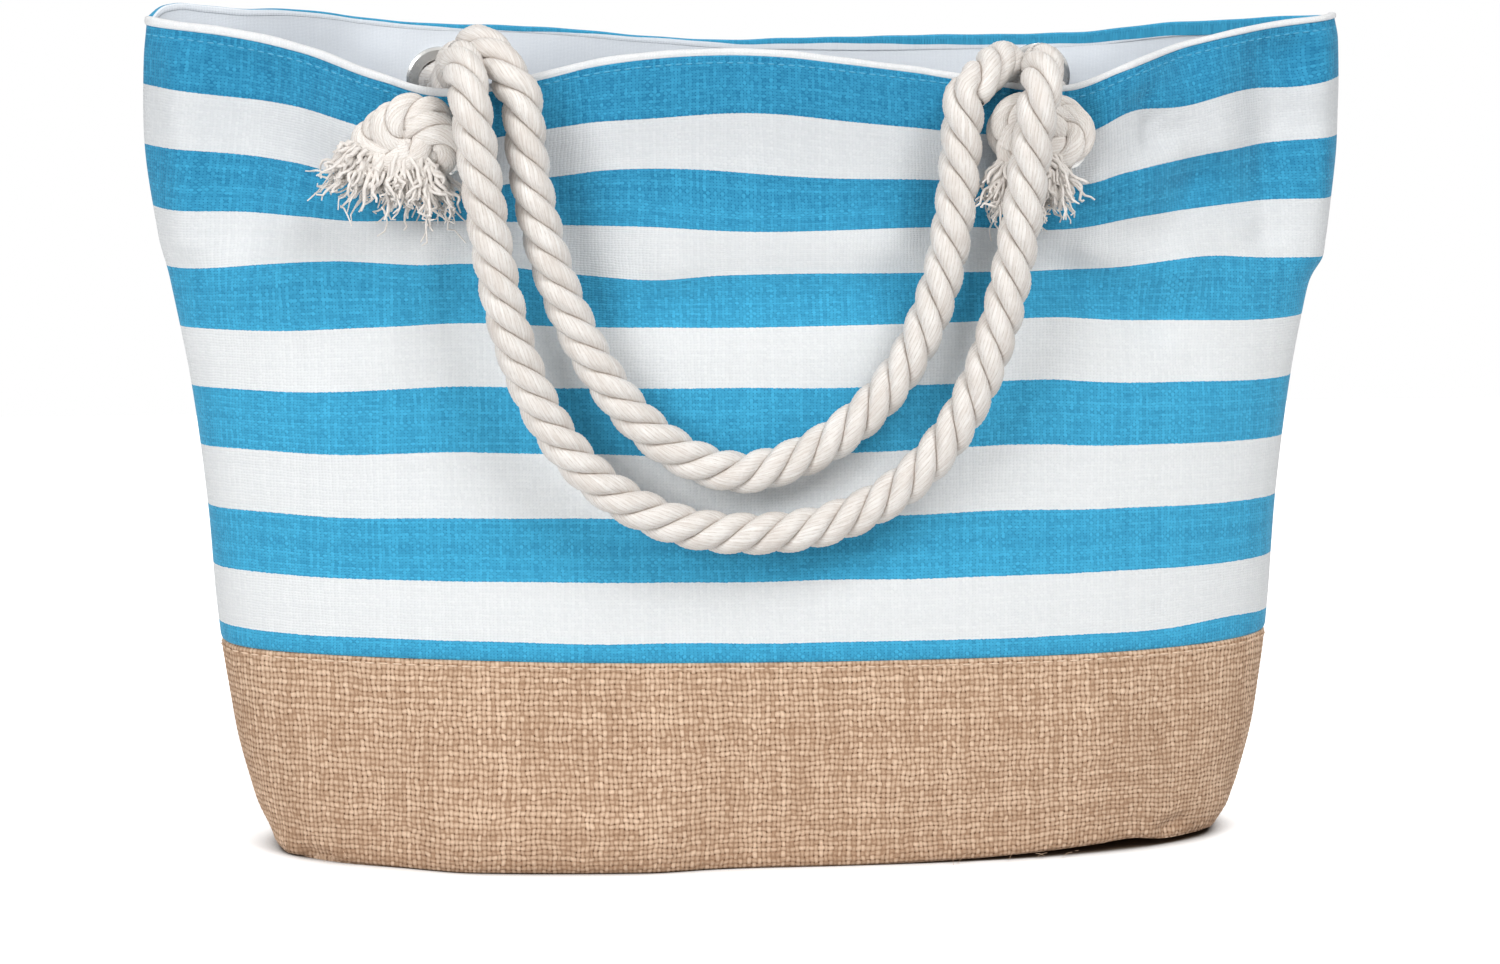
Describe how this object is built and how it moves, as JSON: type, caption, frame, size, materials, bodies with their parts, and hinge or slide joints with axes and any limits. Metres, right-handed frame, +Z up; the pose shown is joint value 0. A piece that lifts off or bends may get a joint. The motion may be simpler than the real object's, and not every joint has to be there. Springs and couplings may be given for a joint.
{
  "type": "beach tote bag",
  "caption": "Open striped canvas beach tote with a jute foot, a pale lining, metal eyelets and knotted rope handles that hang over the front and lift to carry it.",
  "frame": {"origin": "middle of the base on the floor", "axes": "+Z up out of the mouth, -Y out of the front panel over which the handles hang, +X to the right seen from the front, along the bag's width"},
  "size_m": [0.5032, 0.1486, 0.3525],
  "materials": {
    "striped_canvas": "matte plain weave in broad blue and white stripes",
    "jute": "matte open burlap weave",
    "lining": "smooth fine weave",
    "white_edge": "smooth rolled lining edge",
    "blue_edge": "matte turned canvas edge",
    "eyelet_metal": "bright nickel plate",
    "cotton_rope": "three-strand laid cotton",
    "cotton_yarn": "loose unlaid cotton yarn"
  },
  "bodies": {
    "bag": {"front_canvas": "striped_canvas", "back_canvas": "striped_canvas", "front_jute": "jute", "back_jute": "jute", "jute_base": "jute", "front_lining": "lining", "back_lining": "lining", "base_lining": "lining", "front_rim_edge": "white_edge", "back_rim_edge": "blue_edge", "front_left_eyelet": "eyelet_metal", "front_left_washer": "eyelet_metal", "front_right_eyelet": "eyelet_metal", "front_right_washer": "eyelet_metal", "back_left_eyelet": "eyelet_metal", "back_left_washer": "eyelet_metal", "back_right_eyelet": "eyelet_metal", "back_right_washer": "eyelet_metal", "front_left_rope_end": "cotton_rope", "front_left_knot": "cotton_rope", "front_left_fray": "cotton_yarn", "front_right_rope_end": "cotton_rope", "front_right_knot": "cotton_rope", "front_right_fray": "cotton_yarn", "back_left_rope_end": "cotton_rope", "back_left_knot": "cotton_rope", "back_left_fray": "cotton_yarn", "back_right_rope_end": "cotton_rope", "back_right_knot": "cotton_rope", "back_right_fray": "cotton_yarn"},
    "front_bends": {"front_left_rope_bend": "cotton_rope", "front_right_rope_bend": "cotton_rope"},
    "front_handle": {"front_rope_loop": "cotton_rope"},
    "back_spans": {"back_left_rope_span": "cotton_rope", "back_right_rope_span": "cotton_rope"},
    "back_handle": {"back_rope_loop": "cotton_rope"}
  },
  "joints": [
    {"name": "front_handle_lift", "type": "hinge", "parent": "bag", "child": "front_bends", "pos_m": [0, -0.03173, 0.3315], "axis": [-1, 0, 0], "range_deg": [0, 90], "deforming": ["front_left_rope_bend", "front_right_rope_bend"]},
    {"name": "front_handle_unbend", "type": "hinge", "parent": "front_bends", "child": "front_handle", "pos_m": [0, -0.06674, 0.3315], "axis": [-1, 0, 0], "range_deg": [0, 90], "deforming": ["front_left_rope_bend", "front_right_rope_bend"]},
    {"name": "back_handle_lift", "type": "hinge", "parent": "bag", "child": "back_spans", "pos_m": [0, 0.0165, 0.32377], "axis": [-1, 0, 0], "range_deg": [0, 80], "deforming": ["back_left_rope_span", "back_right_rope_span"]},
    {"name": "back_handle_unbend", "type": "hinge", "parent": "back_spans", "child": "back_handle", "pos_m": [0, -0.05425, 0.33756], "axis": [-1, 0, 0], "range_deg": [0, 100], "deforming": ["back_left_rope_span", "back_right_rope_span"]}
  ],
  "couplings": [
    {"joint": "front_handle_unbend", "follows": "front_handle_lift", "ratio": 1},
    {"joint": "back_handle_unbend", "follows": "back_handle_lift", "ratio": 1.25}
  ]
}
